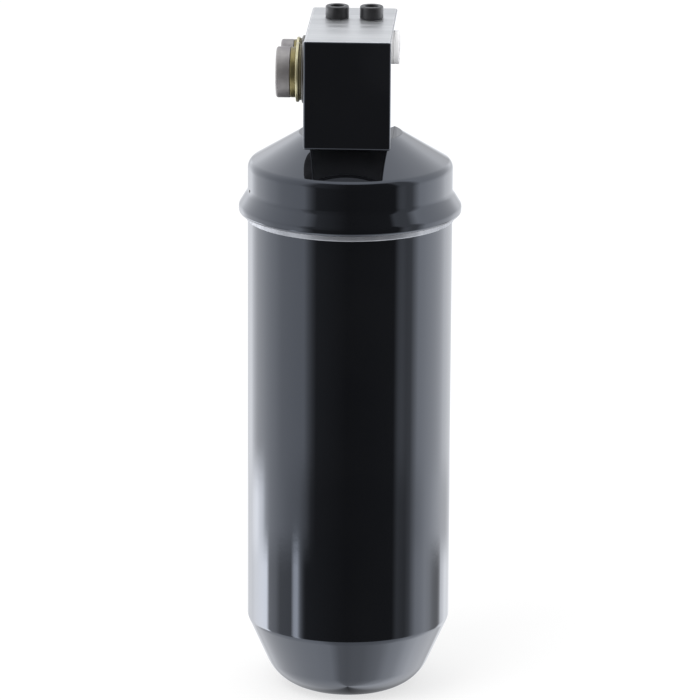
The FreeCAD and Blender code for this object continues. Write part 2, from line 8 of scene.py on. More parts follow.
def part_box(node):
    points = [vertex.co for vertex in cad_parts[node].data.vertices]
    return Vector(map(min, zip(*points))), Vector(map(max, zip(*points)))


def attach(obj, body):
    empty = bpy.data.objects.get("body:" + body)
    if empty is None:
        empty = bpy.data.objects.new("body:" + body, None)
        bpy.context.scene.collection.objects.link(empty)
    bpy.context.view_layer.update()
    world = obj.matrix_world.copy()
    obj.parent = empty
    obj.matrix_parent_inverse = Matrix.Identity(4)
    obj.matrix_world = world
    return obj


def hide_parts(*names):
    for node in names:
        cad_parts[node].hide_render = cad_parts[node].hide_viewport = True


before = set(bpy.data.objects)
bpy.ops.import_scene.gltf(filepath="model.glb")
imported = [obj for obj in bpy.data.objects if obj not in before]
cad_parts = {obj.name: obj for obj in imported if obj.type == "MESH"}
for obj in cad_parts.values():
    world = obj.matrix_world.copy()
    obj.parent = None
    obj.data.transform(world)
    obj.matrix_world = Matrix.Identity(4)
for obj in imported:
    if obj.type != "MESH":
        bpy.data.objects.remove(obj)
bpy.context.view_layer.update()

MM = 0.001
ROUND_STEPS = 8
TURN_STEPS = 192
SMALL_TURN_STEPS = 96
THREAD_STEPS = 10
BEVEL_STEPS = 3
SPECK_STEPS = 24
ON_AXIS = 1e-6
SHARP_ANGLE = math.radians(38)
OUT_LEFT = Matrix.Rotation(math.radians(-90), 4, "Y")
OUT_RIGHT = Matrix.Rotation(math.radians(90), 4, "Y")
UPRIGHT = Matrix.Identity(4)


# Outlines and turned pieces

def corner_arc(before, corner, after, radius):
    """Points of the arc that rounds one corner of an outline."""
    before, corner, after = Vector(before), Vector(corner), Vector(after)
    to_before = (before - corner).normalized()
    to_after = (after - corner).normalized()
    half = to_before.angle(to_after) / 2
    reach = radius / math.tan(half)
    middle = corner + (to_before + to_after).normalized() * (radius / math.sin(half))
    start = corner + to_before * reach - middle
    end = corner + to_after * reach - middle
    turn = start.angle_signed(end)
    points = []
    for step in range(ROUND_STEPS + 1):
        angle = -turn * step / ROUND_STEPS
        cos, sin = math.cos(angle), math.sin(angle)
        points.append((middle.x + start.x * cos - start.y * sin, middle.y + start.x * sin + start.y * cos))
    return points


def rounded(corners):
    """A closed outline of (across, up, radius) corners, in millimetres, with its corners rounded."""
    points = []
    count = len(corners)
    for i, (across, up, radius) in enumerate(corners):
        if radius:
            before, after = corners[i - 1][:2], corners[(i + 1) % count][:2]
            points += corner_arc(before, (across, up), after, radius)
        else:
            points.append((across, up))
    return points


def on_circle(radius, height, step, steps):
    """One of the points of a circle round the upright axis."""
    angle = 2 * math.pi * step / steps
    return Vector((radius * math.cos(angle), radius * math.sin(angle), height))


def finished(name, bm, smooth=True):
    """Turns a bmesh in millimetres into an object in metres."""
    bmesh.ops.recalc_face_normals(bm, faces=bm.faces)
    bmesh.ops.scale(bm, vec=(MM, MM, MM), verts=bm.verts)
    mesh = bpy.data.meshes.new(name)
    bm.to_mesh(mesh)
    bm.free()
    if smooth:
        mesh.shade_smooth()
        mesh.set_sharp_from_angle(angle=SHARP_ANGLE)
    piece = bpy.data.objects.new(name, mesh)
    bpy.context.scene.collection.objects.link(piece)
    return piece


def turned(name, corners, centre=(0, 0, 0), pose=UPRIGHT, steps=SMALL_TURN_STEPS):
    """A closed outline of (radius, height, rounding) corners turned about the axis through centre."""
    place = Matrix.Translation(Vector(centre)) @ pose
    bm = bmesh.new()
    rings = []
    for radius, height in rounded(corners):
        count = 1 if radius < ON_AXIS else steps
        rings.append([bm.verts.new(place @ on_circle(radius, height, step, steps)) for step in range(count)])
    for i, ring in enumerate(rings):
        other = rings[(i + 1) % len(rings)]
        if len(ring) == 1 and len(other) == 1:
            continue
        for step in range(steps):
            after = (step + 1) % steps
            if len(ring) == 1:
                bm.faces.new((ring[0], other[step], other[after]))
            elif len(other) == 1:
                bm.faces.new((ring[step], ring[after], other[0]))
            else:
                bm.faces.new((ring[step], ring[after], other[after], other[step]))
    return finished(name, bm)


def even_faces(piece):
    """Keeps large faces evenly shaded up to their rounded edges."""
    modifier = piece.modifiers.new("even_faces", "WEIGHTED_NORMAL")
    modifier.keep_sharp = True


def place_piece(piece, body, slot, material, *nodes):
    """Rides the piece on its body, gives it its finish and hides the nodes it stands for. The slot is not
    used.
    """
    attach(piece, body)
    piece.data.materials.append(material)
    if nodes:
        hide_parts(*nodes)


# Materials

NOISE_LOW = 0.35
NOISE_HIGH = 0.65


def new_material(name, **values):
    """A material whose even values sit on the shader's own sockets."""
    material = bpy.data.materials.new(name)
    material.use_nodes = True
    shader = material.node_tree.nodes["Principled BSDF"]
    for socket, value in values.items():
        shader.inputs[socket.replace("_", " ")].default_value = value
    return material


def noise(material, scale, detail=3.0, stretch=(1, 1, 1)):
    """A noise texture in the piece's own space."""
    tree = material.node_tree
    spot = tree.nodes.new("ShaderNodeTexCoord")
    mapping = tree.nodes.new("ShaderNodeMapping")
    mapping.inputs["Scale"].default_value = stretch
    texture = tree.nodes.new("ShaderNodeTexNoise")
    texture.inputs["Scale"].default_value = scale
    texture.inputs["Detail"].default_value = detail
    tree.links.new(spot.outputs["Object"], mapping.inputs["Vector"])
    tree.links.new(mapping.outputs["Vector"], texture.inputs["Vector"])
    return texture


def vary_number(material, socket, texture, low, high):
    """Lets the texture move one of the shader's numbers between low and high."""
    tree = material.node_tree
    spread = tree.nodes.new("ShaderNodeMapRange")
    spread.inputs["From Min"].default_value = NOISE_LOW
    spread.inputs["From Max"].default_value = NOISE_HIGH
    spread.inputs["To Min"].default_value = low
    spread.inputs["To Max"].default_value = high
    tree.links.new(texture.outputs["Fac"], spread.inputs["Value"])
    tree.links.new(spread.outputs["Result"], tree.nodes["Principled BSDF"].inputs[socket])


def vary_colour(material, texture, dark, light):
    """Lets the texture move the base colour between dark and light."""
    tree = material.node_tree
    ramp = tree.nodes.new("ShaderNodeValToRGB")
    for mark, position, colour in zip(ramp.color_ramp.elements, (NOISE_LOW, NOISE_HIGH), (dark, light)):
        mark.position = position
        mark.color = (*colour, 1)
    tree.links.new(texture.outputs["Fac"], ramp.inputs["Fac"])
    tree.links.new(ramp.outputs["Color"], tree.nodes["Principled BSDF"].inputs["Base Color"])


def add_bump(material, texture, strength, depth):
    """Raises the surface by the texture; depth is in metres."""
    tree = material.node_tree
    bump = tree.nodes.new("ShaderNodeBump")
    bump.inputs["Strength"].default_value = strength
    bump.inputs["Distance"].default_value = depth
    tree.links.new(texture.outputs["Fac"], bump.inputs["Height"])
    tree.links.new(bump.outputs["Normal"], tree.nodes["Principled BSDF"].inputs["Normal"])


def gloss_paint(name):
    """Black enamel with a slightly uneven, bluish gloss."""
    material = new_material(name, Specular_IOR_Level=0.57, Specular_Tint=(0.80, 0.87, 1.0, 1.0))
    vary_colour(material, noise(material, 22), (0.0036, 0.0038, 0.0046), (0.0055, 0.0056, 0.0064))
    vary_number(material, "Roughness", noise(material, 60), 0.02, 0.045)
    add_bump(material, noise(material, 420, detail=2.0), strength=0.05, depth=0.00003)
    return material


def machined(name, dark, light, roughness, stretch=(1, 1, 1)):
    """Bare metal with fine cutter marks along one direction."""
    material = new_material(name, Metallic=1.0)
    marks = noise(material, 900, detail=4.0, stretch=stretch)
    vary_colour(material, noise(material, 140, detail=4.0, stretch=stretch), dark, light)
    vary_number(material, "Roughness", marks, *roughness)
    add_bump(material, marks, strength=0.25, depth=0.00002)
    return material


def plain(name, dark, light, roughness, scale, metallic=0.0, grain=0.2):
    """A moulded, plated or cast finish with small uneven spots."""
    material = new_material(name, Metallic=metallic)
    vary_colour(material, noise(material, scale), dark, light)
    vary_number(material, "Roughness", noise(material, scale * 3), *roughness)
    add_bump(material, noise(material, scale * 9, detail=4.0), strength=grain, depth=0.00003)
    return material


BLACK_PAINT = gloss_paint("black_enamel")
BARE_TOP = machined("milled_aluminium", (0.425, 0.43, 0.43), (0.51, 0.514, 0.512),
                    roughness=(0.32, 0.44), stretch=(0.05, 1, 1))
# The hem's lighter bare-metal finish is a painted highlight: it stands in for the bright line that the black
# paint's rounded lower lip edge reflects.
HEM_HIGHLIGHT_METAL = machined("hem_painted_highlight", (0.20, 0.205, 0.215), (0.275, 0.28, 0.29),
                     roughness=(0.4, 0.5), stretch=(1, 1, 0.2))
# The block's underside in light grey is a painted sheen: it lightens the block's reflection in the lid's
# cone.
UNDERSIDE_SHEEN = plain("underside_painted_sheen", (0.50, 0.505, 0.52), (0.60, 0.605, 0.62),
                  roughness=(0.55, 0.7), scale=160)
BOSS_PAINT = plain("boss_enamel", (0.022, 0.018, 0.010), (0.034, 0.028, 0.017),
                   roughness=(0.3, 0.4), scale=240)
PLASTIC = plain("black_plastic", (0.010, 0.010, 0.011), (0.018, 0.018, 0.019),
                roughness=(0.35, 0.5), scale=260)
CAP_METAL = plain("grey_plating", (0.205, 0.192, 0.192), (0.255, 0.243, 0.235),
                  roughness=(0.5, 0.6), scale=180, metallic=0.6)
BRASS = machined("dull_brass", (0.14, 0.118, 0.052), (0.21, 0.178, 0.088), roughness=(0.34, 0.46))
YELLOW_PLATING = plain("yellow_plating", (0.40, 0.365, 0.215), (0.50, 0.465, 0.30),
                       roughness=(0.3, 0.42), scale=200, metallic=0.5)
OLIVE_RUBBER = plain("olive_rubber", (0.105, 0.090, 0.046), (0.145, 0.127, 0.070),
                     roughness=(0.45, 0.6), scale=300)
DARK_RUBBER = plain("dark_rubber", (0.030, 0.024, 0.012), (0.045, 0.037, 0.020),
                    roughness=(0.5, 0.65), scale=300)
TUBE_METAL = machined("turned_aluminium", (0.60, 0.60, 0.61), (0.74, 0.74, 0.75), roughness=(0.28, 0.4))
PLUG_CAST = plain("blasted_aluminium", (0.80, 0.80, 0.81), (0.88, 0.88, 0.89),
                  roughness=(0.45, 0.6), scale=260)
SOLDER = plain("dull_solder", (0.30, 0.30, 0.31), (0.40, 0.40, 0.41),
               roughness=(0.4, 0.55), scale=400, metallic=0.8)
STEEL = machined("plain_steel", (0.40, 0.40, 0.41), (0.52, 0.52, 0.53),
                 roughness=(0.3, 0.45), stretch=(1, 1, 0.1))
FELT = plain("felt", (0.55, 0.53, 0.48), (0.72, 0.70, 0.64), roughness=(0.9, 1.0), scale=420, grain=1.0)
GRAINS = plain("drying_grains", (0.36, 0.28, 0.20), (0.62, 0.52, 0.40),
               roughness=(0.8, 0.95), scale=330, grain=1.0)


# Sizes, in millimetres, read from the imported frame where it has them

def mm_box(node):
    low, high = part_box(node)
    return low / MM, high / MM


def centre_of(node):
    low, high = mm_box(node)
    return (low + high) / 2


can_high = mm_box("canister_shell")[1]
lid_low, lid_high = mm_box("lid")
block_low, block_high = mm_box("head_block")
CAN_RADIUS = can_high.x
CAN_TOP = can_high.z
LIP = lid_low.z
DECK = lid_high.z
TOP = block_high.z

CAN_WALL = 1.8
CAN_BORE = CAN_RADIUS - CAN_WALL
TAPER_HEIGHT = 27.0
TAPER_ANGLE = math.radians(24)
TAPER_SLOPE = math.tan(TAPER_ANGLE)
FLOOR_BEND = 17.0
KNUCKLE_ROUND = 5.0
RIM_STEP = 0.6
RIM_RADIUS = CAN_RADIUS - RIM_STEP


# Can

def make_can():
    foot = CAN_RADIUS - TAPER_HEIGHT * TAPER_SLOPE
    knuckle = TAPER_HEIGHT + CAN_WALL * math.tan(TAPER_ANGLE / 2)
    inner_foot = CAN_BORE - (knuckle - CAN_WALL) * TAPER_SLOPE
    can = turned("can", [
        (0, 0, 0),
        (foot, 0, FLOOR_BEND),
        (CAN_RADIUS, TAPER_HEIGHT, KNUCKLE_ROUND),
        (CAN_RADIUS, LIP, 0),
        (RIM_RADIUS, LIP, 0),
        (RIM_RADIUS, CAN_TOP, 0),
        (CAN_BORE, CAN_TOP, 0),
        (CAN_BORE, knuckle, 0),
        (inner_foot, CAN_WALL, FLOOR_BEND - CAN_WALL),
        (0, CAN_WALL, 0),
    ], steps=TURN_STEPS)
    even_faces(can)
    place_piece(can, "drier", "black_paint", BLACK_PAINT, "canister_shell")


# Lid, its hem with a painted highlight along the lip's lower edge, and the small dark mark at its neck

LID_FIT = 0.05
LID_SOCKET = RIM_RADIUS + LID_FIT
HEM_WIDTH = 0.8
HEM_EDGE = CAN_RADIUS + HEM_WIDTH
HEM_HEIGHT = 2.2
HEM_TOP = LIP + HEM_HEIGHT
HEM_ROUND = 0.5
LIP_HEIGHT = 10.5
LIP_REACH = 3.3
LIP_EDGE_ROUND = 1.2
CREST_LOW = 2.35
CREST_BAND = 2.75
CREST_ROUND = 2.5
NECK_ROUND = 4.0
SHOULDER_RISE = 21.0
SHOULDER_ROUND = 3.5
CROWN_ANGLE = math.radians(31)
DECK_RADIUS = 19.0
DECK_ROUND = 1.0
UNDER_DECK_STEP = 0.5
SPIGOT_RADIUS = 16.5
SPECK_RADIUS = 0.65
SPECK_ROUND = 0.4
SPECK_FLATNESS = 0.25
SPECK_TURN = math.radians(-75)
SPECK_RISE = 11.4
SPECK_PROUD = 0.05


def make_lid():
    crest = CAN_RADIUS + LIP_REACH
    crest_low = LIP + CREST_LOW
    shoulder = LIP + SHOULDER_RISE
    underside = shoulder + CAN_WALL * math.tan(CROWN_ANGLE) - CAN_WALL / math.cos(CROWN_ANGLE)
    lid = turned("lid_shell", [
        (LID_SOCKET, HEM_TOP, 0),
        (HEM_EDGE, HEM_TOP, 0),
        (crest, crest_low, LIP_EDGE_ROUND),
        (crest, crest_low + CREST_BAND, CREST_ROUND),
        (CAN_RADIUS, LIP + LIP_HEIGHT, NECK_ROUND),
        (CAN_RADIUS, shoulder, SHOULDER_ROUND),
        (DECK_RADIUS, DECK, DECK_ROUND),
        (SPIGOT_RADIUS, DECK, 0),
        (SPIGOT_RADIUS, DECK - CAN_WALL, 0),
        (DECK_RADIUS - UNDER_DECK_STEP, DECK - CAN_WALL, 0),
        (CAN_BORE, underside, 0),
        (CAN_BORE, CAN_TOP, 0),
        (LID_SOCKET, CAN_TOP, 0),
    ], steps=TURN_STEPS)
    even_faces(lid)
    place_piece(lid, "drier", "black_paint", BLACK_PAINT, "lid")


def make_hem():
    hem = turned("lid_hem", [
        (LID_SOCKET, LIP, 0),
        (HEM_EDGE, LIP, HEM_ROUND),
        (HEM_EDGE, HEM_TOP, 0),
        (LID_SOCKET, HEM_TOP, 0),
    ], steps=TURN_STEPS)
    # The hem is black paint; its lighter metal finish paints the highlight along the lip's lower edge.
    place_piece(hem, "drier", "black_paint", HEM_HIGHLIGHT_METAL)


def make_speck():
    speck = turned("lid_speck", [
        (0, -SPECK_RADIUS, 0), (SPECK_RADIUS, 0, SPECK_ROUND), (0, SPECK_RADIUS, 0),
    ], steps=SPECK_STEPS)
    place = Matrix.Translation((0, 0, (LIP + SPECK_RISE) * MM)) @ Matrix.Rotation(SPECK_TURN, 4, "Z")
    sunk = Matrix.Translation((0, -(CAN_RADIUS + SPECK_PROUD) * MM, 0))
    speck.data.transform(place @ sunk @ Matrix.Diagonal((1, SPECK_FLATNESS, 1, 1)))
    place_piece(speck, "drier", "black_paint", DARK_RUBBER)


# Head block

BLOCK_WIDTH = 31.8
BLOCK_SIDE = BLOCK_WIDTH / 2
BLOCK_EDGE = 0.9
BARE_EDGE = 0.27
HOLE_RADIUS = 3.0
HOLE_DEPTH = 7.5
HOLE_MOUTH = 0.35
NEAR_HOLE = HOLE_RADIUS * 1.5
HOLE_PLUGS = {"left_hole_plug": "left", "right_hole_plug": "right"}
BOSS_RADII = {"inlet": 11.5, "outlet": 9.0}
BOSS_CHAMFER = 0.8
FACES_DOWN = -0.99
PAINTED = 0
BARE = 1
# Material index of the underside's light grey, a painted sheen.
SHEEN_BELOW = 2


def cut(piece, cutter):
    """Takes the cutter's space out of the piece and removes the cutter."""
    modifier = piece.modifiers.new("cut", "BOOLEAN")
    modifier.operation = "DIFFERENCE"
    modifier.solver = "EXACT"
    modifier.object = cutter
    graph = bpy.context.evaluated_depsgraph_get()
    mesh = bpy.data.meshes.new_from_object(piece.evaluated_get(graph))
    piece.modifiers.clear()
    piece.data = mesh
    bpy.data.objects.remove(cutter)


def cut_holes(block):
    """Drills the two fastening holes with their countersunk mouths."""
    for node in HOLE_PLUGS:
        at = centre_of(node)
        cut(block, turned("cutter", [
            (0, TOP - HOLE_DEPTH, 0),
            (HOLE_RADIUS, TOP - HOLE_DEPTH, 0),
            (HOLE_RADIUS, TOP - HOLE_MOUTH, 0),
            (HOLE_RADIUS + 2 * HOLE_MOUTH, TOP + HOLE_MOUTH, 0),
            (0, TOP + HOLE_MOUTH, 0),
        ], centre=(at.x, at.y, 0)))


def block_finish(face, holes):
    """Bare metal on top and in the holes, a light grey below that paints the underside's sheen, and paint
    elsewhere.
    """
    if face.normal.z < FACES_DOWN:
        return SHEEN_BELOW
    middle = face.center / MM
    to_hole = min(math.hypot(middle.x - hole.x, middle.y - hole.y) for hole in holes)
    if middle.z > TOP - BARE_EDGE or to_hole < NEAR_HOLE:
        return BARE
    return PAINTED


def make_block():
    bm = bmesh.new()
    bmesh.ops.create_cube(bm, size=1.0)
    bmesh.ops.scale(bm, vec=(BLOCK_WIDTH, block_high.y - block_low.y, TOP - DECK), verts=bm.verts)
    middle = Vector((0, (block_low.y + block_high.y) / 2, (TOP + DECK) / 2))
    bmesh.ops.translate(bm, vec=middle, verts=bm.verts)
    bmesh.ops.bevel(bm, geom=bm.edges[:], offset=BLOCK_EDGE, segments=BEVEL_STEPS, profile=0.5,
                    affect="EDGES")
    block = finished("block", bm, smooth=False)
    cut_holes(block)
    mesh = block.data
    mesh.materials.clear()
    for material in (BLACK_PAINT, BARE_TOP, UNDERSIDE_SHEEN):
        mesh.materials.append(material)
    holes = [centre_of(node) for node in HOLE_PLUGS]
    for face in mesh.polygons:
        face.material_index = block_finish(face, holes)
    mesh.shade_smooth()
    mesh.set_sharp_from_angle(angle=SHARP_ANGLE)
    even_faces(block)
    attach(block, "drier")
    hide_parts("head_block")


def make_spigot():
    """The block's foot, which fills the hole in the lid's deck."""
    spigot = turned("block_spigot", [
        (0, DECK - CAN_WALL, 0),
        (SPIGOT_RADIUS, DECK - CAN_WALL, 0),
        (SPIGOT_RADIUS, DECK, 0),
        (0, DECK, 0),
    ], steps=TURN_STEPS)
    place_piece(spigot, "drier", "black_paint", BLACK_PAINT)


def make_bosses():
    for name, radius in BOSS_RADII.items():
        middle = centre_of(f"{name}_gasket")
        height = -BLOCK_SIDE - mm_box(f"{name}_gasket")[1].x
        boss = turned(f"{name}_boss", [
            (0, -BLOCK_EDGE, 0),
            (radius, -BLOCK_EDGE, 0),
            (radius, height, BOSS_CHAMFER),
            (0, height, 0),
        ], centre=(-BLOCK_SIDE, middle.y, middle.z), pose=OUT_LEFT)
        place_piece(boss, "drier", "black_paint", BOSS_PAINT)


# Hole plugs

PLUG_RADIUS = 4.35
PLUG_EDGE = 0.6
PLUG_SEAT_EDGE = 0.3
STEM_LENGTH = 6.5
STEM_RADIUS = 2.92
BARB_DEPTH = 0.35
STEM_CORE = STEM_RADIUS - BARB_DEPTH
BARB_PITCH = 1.3
BARB_CREST = 0.3
BARB_BACK = 0.05
RECESS_MOUTH = 2.6
RECESS_FLOOR = 2.3
RECESS_DEPTH = 3.4
RECESS_LIP = 0.4
RECESS_CORNER = 0.3


def make_hole_plugs():
    for node, side in HOLE_PLUGS.items():
        low, high = mm_box(node)
        at = centre_of(node)
        stem_top = low.z + STEM_LENGTH
        corners = [(0, low.z, 0), (STEM_CORE, low.z, 0)]
        barb = low.z + BARB_PITCH
        while barb < stem_top:
            corners += [
                (STEM_RADIUS, barb - BARB_CREST, 0),
                (STEM_RADIUS, barb, 0),
                (STEM_CORE, barb + BARB_BACK, 0),
            ]
            barb += BARB_PITCH
        corners += [
            (STEM_CORE, stem_top, 0),
            (PLUG_RADIUS, stem_top, PLUG_SEAT_EDGE),
            (PLUG_RADIUS, high.z, PLUG_EDGE),
            (RECESS_MOUTH, high.z, RECESS_LIP),
            (RECESS_FLOOR, high.z - RECESS_DEPTH, RECESS_CORNER),
            (0, high.z - RECESS_DEPTH, 0),
        ]
        plug = turned(f"{side}_plug_cap", corners, centre=(at.x, at.y, 0))
        place_piece(plug, f"{side}_plug", "black_plastic", PLASTIC, node)


# Line fittings: what their boxes don't tell

FITTINGS = {
    "inlet": dict(shank=6.5, bore=4.2, cap_wall=1.4, pitch=1.4),
    "outlet": dict(shank=5.0, bore=3.0, cap_wall=1.3, pitch=1.2),
}
RING_FIT = 0.05
GASKET_EDGE = 0.25
WASHER_EDGE = 0.3
CAP_MOUTH_EDGE = 0.2
CAP_FOOT_EDGE = 0.25
CAP_EDGE = 0.8
CAP_END = 1.3
CAP_GAP = 0.1
NECK_FOOT_EDGE = 0.2
NECK_EDGE = 0.25
STUB_EDGE = 0.2
STUB_MOUTH_EDGE = 0.3
THREAD_FIT = 0.08
THREAD_DEPTH = 0.45
RUN_OUT_TURNS = 0.5


def threaded(name, crest, root, length, pitch, centre, pose):
    """A sleeve with a right-handed thread that runs out at both ends."""
    steps = SMALL_TURN_STEPS
    rows = max(2, round(length / pitch * THREAD_STEPS))
    run_out = pitch * RUN_OUT_TURNS
    place = Matrix.Translation(Vector(centre)) @ pose
    bm = bmesh.new()
    grid = []
    for row in range(rows + 1):
        height = length * row / rows
        fade = min(1.0, height / run_out, (length - height) / run_out)
        ring = []
        for step in range(steps):
            phase = (height / pitch - step / steps) % 1.0
            groove = abs(phase - 0.5) * 2
            radius = crest - (crest - root) * groove * fade
            ring.append(bm.verts.new(place @ on_circle(radius, height, step, steps)))
        grid.append(ring)
    for low, high in zip(grid, grid[1:]):
        for step in range(steps):
            after = (step + 1) % steps
            bm.faces.new((low[step], low[after], high[after], high[step]))
    return finished(name, bm)


def make_fitting(name, sizes):
    shank = sizes["shank"] + RING_FIT

    def part(kind):
        """The radius and the length of a node on this fitting, and its inner end's centre."""
        low, high = mm_box(f"{name}_{kind}")
        middle = (low + high) / 2
        return (high.z - low.z) / 2, high.x - low.x, (high.x, middle.y, middle.z)

    def ring(kind, label, edge, slot, material):
        """A ring round the shank. Gives the place of its outer face."""
        radius, thick, foot = part(kind)
        piece = turned(f"{name}_{label}", [
            (shank, 0, 0), (radius, 0, edge), (radius, thick, edge), (shank, thick, 0),
        ], foot, OUT_LEFT)
        place_piece(piece, "drier", slot, material, f"{name}_{kind}")
        return foot[0] - thick

    ring("gasket", "ring_seal", GASKET_EDGE, "gasket_rubber", OLIVE_RUBBER)
    neck_foot = ring("washer", "plated_washer", WASHER_EDGE, "yellow_plating", YELLOW_PLATING)

    cap_radius, cap_length, cap_foot = part("cap")
    bore = cap_radius - sizes["cap_wall"]
    cap = turned(f"{name}_screw_cap", [
        (bore, 0, CAP_MOUTH_EDGE),
        (cap_radius, 0, CAP_FOOT_EDGE),
        (cap_radius, cap_length, CAP_EDGE),
        (0, cap_length, 0),
        (0, cap_length - CAP_END, 0),
        (bore, cap_length - CAP_END, 0),
    ], cap_foot, OUT_LEFT)
    place_piece(cap, f"{name}_cap", "cap_metal", CAP_METAL, f"{name}_cap")

    neck_radius, adapter_length, inner_end = part("adapter")
    neck_start = inner_end[0] - neck_foot
    neck_end = inner_end[0] - cap_foot[0] - CAP_GAP
    crest = bore - THREAD_FIT
    root = crest - THREAD_DEPTH
    adapter = turned(f"{name}_stub", [
        (sizes["bore"], 0, 0),
        (sizes["shank"], 0, 0),
        (sizes["shank"], neck_start, 0),
        (neck_radius, neck_start, NECK_FOOT_EDGE),
        (neck_radius, neck_end, NECK_EDGE),
        (root, neck_end, 0),
        (root, adapter_length, STUB_EDGE),
        (sizes["bore"], adapter_length, STUB_MOUTH_EDGE),
    ], inner_end, OUT_LEFT)
    place_piece(adapter, "drier", "brass", BRASS, f"{name}_adapter")
    thread_foot = (inner_end[0] - neck_end, *inner_end[1:])
    thread = threaded(f"{name}_stub_thread", crest, root, adapter_length - neck_end, sizes["pitch"],
                      thread_foot, OUT_LEFT)
    place_piece(thread, "drier", "brass", BRASS)


# Fusible plug and its ring

FUSE_RADIUS = 4.5
FUSE_DEPTH = 1.0
FUSE_EDGE = 0.45
FUSE_BORE = 1.6
FUSE_MOUTH = 2.2
FUSE_MOUTH_DEPTH = 0.4
FUSE_RING_BORE = FUSE_RADIUS + RING_FIT
FUSE_RING_THICK = 0.5
FUSE_RING_EDGE = 0.1


def make_fusible_plug():
    low, high = mm_box("fusible_plug")
    at = centre_of("fusible_plug")
    foot = (BLOCK_SIDE, at.y, at.z)
    head = high.x - BLOCK_SIDE
    radius = (high.z - low.z) / 2
    washer = turned("fusible_ring", [
        (FUSE_RING_BORE, 0, 0),
        (radius, 0, FUSE_RING_EDGE),
        (radius, FUSE_RING_THICK, FUSE_RING_EDGE),
        (FUSE_RING_BORE, FUSE_RING_THICK, 0),
    ], foot, OUT_RIGHT)
    place_piece(washer, "drier", "bare_aluminium", PLUG_CAST, "fusible_washer")
    plug = turned("fusible_head", [
        (FUSE_BORE, -FUSE_DEPTH, 0),
        (FUSE_RADIUS, -FUSE_DEPTH, 0),
        (FUSE_RADIUS, FUSE_RING_THICK, 0),
        (radius, FUSE_RING_THICK, FUSE_RING_EDGE),
        (radius, head, FUSE_EDGE),
        (FUSE_MOUTH, head, 0),
        (FUSE_BORE, head - FUSE_MOUTH_DEPTH, 0),
    ], foot, OUT_RIGHT)
    place_piece(plug, "drier", "bare_aluminium", PLUG_CAST, "fusible_plug")


def dress_hidden_nodes():
    """Finishes for the sealed inner pieces, which keep their own solids."""
    finishes = {
        "inlet_cap_liner": DARK_RUBBER, "outlet_cap_liner": DARK_RUBBER, "tube_seal": DARK_RUBBER,
        "fusible_core": SOLDER, "pickup_tube": TUBE_METAL, "strainer_cage": PLASTIC,
        "strainer_screen": STEEL, "lower_plate": STEEL, "upper_plate": STEEL, "pack_spring": STEEL,
        "lower_pad": FELT, "upper_pad": FELT, "desiccant_bed": GRAINS,
    }
    for node, material in finishes.items():
        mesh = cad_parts[node].data
        mesh.materials.clear()
        mesh.materials.append(material)


# Arithmetic on shader nodes

class Sums:
    """Small arithmetic on the nodes of one tree."""

    def __init__(self, tree):
        self.tree = tree

    def feed(self, socket, value):
        """Sets a socket to a number or links it to another node's output."""
        if isinstance(value, (int, float)):
            socket.default_value = value
        else:
            self.tree.links.new(value, socket)

    def math(self, kind, *values):
        node = self.tree.nodes.new("ShaderNodeMath")
        node.operation = kind
        for socket, value in zip(node.inputs, values):
            self.feed(socket, value)
        return node.outputs[0]

    def rise(self, value, low, high):
        """Rises smoothly from 0 at low to 1 at high."""
        node = self.tree.nodes.new("ShaderNodeMapRange")
        node.interpolation_type = "SMOOTHSTEP"
        node.inputs["From Min"].default_value = low
        node.inputs["From Max"].default_value = high
        self.tree.links.new(value, node.inputs["Value"])
        return node.outputs["Result"]

    def blend(self, first, second, share):
        """Mixes two numbers; the node's second input is for vectors and stays unused."""
        node = self.tree.nodes.new("ShaderNodeMix")
        self.feed(node.inputs[0], share)
        self.feed(node.inputs[2], first)
        self.feed(node.inputs[3], second)
        return node.outputs[0]

    def layer(self, azimuth, stops):
        """The brightness round one layer, by azimuth."""
        most = max(level for _, level in stops)
        around = self.tree.nodes.new("ShaderNodeMapRange")
        around.inputs["From Min"].default_value = -180
        around.inputs["From Max"].default_value = 180
        self.tree.links.new(azimuth, around.inputs["Value"])
        ramp = self.tree.nodes.new("ShaderNodeValToRGB")
        self.tree.links.new(around.outputs["Result"], ramp.inputs["Fac"])
        marks = ramp.color_ramp.elements
        marks.remove(marks[-1])
        for number, (angle, level) in enumerate(stops):
            place = (angle + 180) / 360
            mark = marks[0] if number == 0 else marks.new(place)
            mark.position = place
            mark.color = (level / most,) * 3 + (1,)
        return self.math("MULTIPLY", ramp.outputs["Color"], most)


# Floor

FLOOR_HALF = 6000
FLOOR_DROP = 0.1
FLOOR_DARK = (0.41, 0.41, 0.41)
FLOOR_LIGHT = (0.43, 0.43, 0.43)
FLOOR_GLOW = 0.66


def make_floor():
    """White paper that the camera sees lit from within and that still takes the part's shadow."""
    bm = bmesh.new()
    bmesh.ops.create_grid(bm, x_segments=1, y_segments=1, size=FLOOR_HALF)
    floor = finished("floor", bm, smooth=False)
    floor.location.z = -FLOOR_DROP * MM
    material = new_material("floor_paper", Roughness=1.0, Specular_IOR_Level=0.0)
    vary_colour(material, noise(material, 3), FLOOR_DARK, FLOOR_LIGHT)
    tree = material.node_tree
    shader = tree.nodes["Principled BSDF"]
    shader.inputs["Emission Color"].default_value = (1, 1, 1, 1)
    rays = tree.nodes.new("ShaderNodeLightPath")
    glow = Sums(tree).math("MULTIPLY", rays.outputs["Is Camera Ray"], FLOOR_GLOW)
    tree.links.new(glow, shader.inputs["Emission Strength"])
    floor.data.materials.append(material)
    floor.visible_glossy = False


